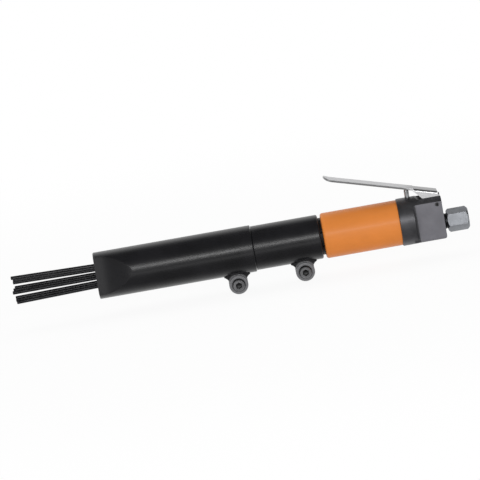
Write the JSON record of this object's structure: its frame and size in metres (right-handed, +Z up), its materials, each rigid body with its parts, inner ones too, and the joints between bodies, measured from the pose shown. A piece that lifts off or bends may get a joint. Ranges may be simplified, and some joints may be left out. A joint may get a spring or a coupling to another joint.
{
  "type": "needle scaler",
  "caption": "Straight air needle scaler: flattened black nose with a bundle of steel needles, two clamped barrel tubes, an orange cylinder and a rear throttle with a lever and hex inlet.",
  "frame": {"origin": "centre of the air inlet's mouth, on the inlet's own axis", "axes": "+X along the tool out of the air inlet, needles to -X; +Z up, the lever's side; the barrel's axis is parallel to X and 5.5 mm above the origin"},
  "size_m": [0.3851, 0.0398, 0.0848],
  "materials": {
    "black_tube": "satin black oxide",
    "orange_paint": "satin enamel",
    "black_body": "satin black",
    "needle_steel": "dark hardened steel",
    "lever_steel": "zinc plated",
    "plated_steel": "bright",
    "hex_steel": "gunmetal",
    "dark_steel": "black oxide",
    "hardened_steel": "ground",
    "spring_steel": "bright",
    "bronze": "turned",
    "black_rubber": "matt"
  },
  "bodies": {
    "housing": {"front_tube": "black_tube", "intermediate_tube": "black_tube", "clamp_screws": "dark_steel", "clamp_washers": "dark_steel", "spring_seat": "plated_steel", "return_spring": "spring_steel", "anvil_bush": "bronze", "anvil_buffer": "black_rubber", "cylinder": "orange_paint", "valve_seat": "hardened_steel", "valve_cover": "hardened_steel", "valve_dowel": "plated_steel", "cylinder_seal": "black_rubber", "throttle_body": "black_body", "lever_pin": "dark_steel", "plunger_seal": "black_rubber", "throttle_seat": "bronze", "throttle_spring": "spring_steel", "throttle_plug": "dark_steel", "inlet_bushing": "hex_steel", "inlet_seal": "black_rubber", "inlet_screen": "plated_steel"},
    "needle_holder": {"needle_holder": "hardened_steel"},
    "anvil": {"anvil": "hardened_steel"},
    "piston": {"piston": "hardened_steel"},
    "valve_disc": {"valve_disc": "plated_steel"},
    "lever": {"throttle_lever": "lever_steel"},
    "plunger": {"throttle_plunger": "plated_steel", "throttle_valve": "bronze"},
    "needle_01": {"needle_01": "needle_steel"},
    "needle_02": {"needle_02": "needle_steel"},
    "needle_03": {"needle_03": "needle_steel"},
    "needle_04": {"needle_04": "needle_steel"},
    "needle_05": {"needle_05": "needle_steel"},
    "needle_06": {"needle_06": "needle_steel"},
    "needle_07": {"needle_07": "needle_steel"},
    "needle_08": {"needle_08": "needle_steel"},
    "needle_09": {"needle_09": "needle_steel"},
    "needle_10": {"needle_10": "needle_steel"},
    "needle_11": {"needle_11": "needle_steel"},
    "needle_12": {"needle_12": "needle_steel"}
  },
  "joints": [
    {"name": "lever_press", "type": "hinge", "parent": "housing", "child": "lever", "pos_m": [-0.0247, 0, 0.018], "axis": [0, -1, 0], "range_deg": [0, 12], "stiffness_Nm_per_rad": 0.8, "springref_deg": -8.59},
    {"name": "plunger_slide", "type": "slide", "parent": "housing", "child": "plunger", "axis": [0, 0, -1], "range_m": [0, 0.0054], "deforming": ["throttle_spring"]},
    {"name": "holder_slide", "type": "slide", "parent": "housing", "child": "needle_holder", "axis": [-1, 0, 0], "range_m": [0, 0.008], "stiffness_N_per_m": 2000, "springref_m": -0.01, "deforming": ["return_spring"]},
    {"name": "anvil_slide", "type": "slide", "parent": "housing", "child": "anvil", "axis": [-1, 0, 0], "range_m": [0, 0.006]},
    {"name": "piston_slide", "type": "slide", "parent": "housing", "child": "piston", "axis": [-1, 0, 0], "range_m": [0, 0.0305]},
    {"name": "valve_disc_lift", "type": "slide", "parent": "housing", "child": "valve_disc", "axis": [1, 0, 0], "range_m": [0, 0.0008]},
    {"name": "needle_01_slide", "type": "slide", "parent": "needle_holder", "child": "needle_01", "axis": [0.9999, 0, -0.0169], "range_m": [-0.002, 0.002]},
    {"name": "needle_02_slide", "type": "slide", "parent": "needle_holder", "child": "needle_02", "axis": [0.9997, 0, -0.0242], "range_m": [-0.0022, 0.0018]},
    {"name": "needle_03_slide", "type": "slide", "parent": "needle_holder", "child": "needle_03", "axis": [0.9999, 0, -0.0169], "range_m": [-0.0018, 0.0022]},
    {"name": "needle_04_slide", "type": "slide", "parent": "needle_holder", "child": "needle_04", "axis": [0.9997, 0, -0.0242], "range_m": [-0.0002, 0.0038]},
    {"name": "needle_05_slide", "type": "slide", "parent": "needle_holder", "child": "needle_05", "axis": [1, 0, 0.0036], "range_m": [-0.0004, 0.0036]},
    {"name": "needle_06_slide", "type": "slide", "parent": "needle_holder", "child": "needle_06", "axis": [1, 0, -0.0036], "range_m": [-0.0012, 0.0028]},
    {"name": "needle_07_slide", "type": "slide", "parent": "needle_holder", "child": "needle_07", "axis": [1, 0, 0.0036], "range_m": [-0.002, 0.002]},
    {"name": "needle_08_slide", "type": "slide", "parent": "needle_holder", "child": "needle_08", "axis": [1, 0, -0.0036], "range_m": [-0.0022, 0.0018]},
    {"name": "needle_09_slide", "type": "slide", "parent": "needle_holder", "child": "needle_09", "axis": [0.9997, 0, 0.0242], "range_m": [-0.0024, 0.0016]},
    {"name": "needle_10_slide", "type": "slide", "parent": "needle_holder", "child": "needle_10", "axis": [0.9999, 0, 0.0169], "range_m": [-0.00248, 0.00152]},
    {"name": "needle_11_slide", "type": "slide", "parent": "needle_holder", "child": "needle_11", "axis": [0.9997, 0, 0.0242], "range_m": [-0.0016, 0.0024]},
    {"name": "needle_12_slide", "type": "slide", "parent": "needle_holder", "child": "needle_12", "axis": [0.9999, 0, 0.0169], "range_m": [-0.00148, 0.00252]}
  ],
  "couplings": [
    {"joint": "plunger_slide", "follows": "lever_press", "m_per_rad": 0.0257}
  ]
}
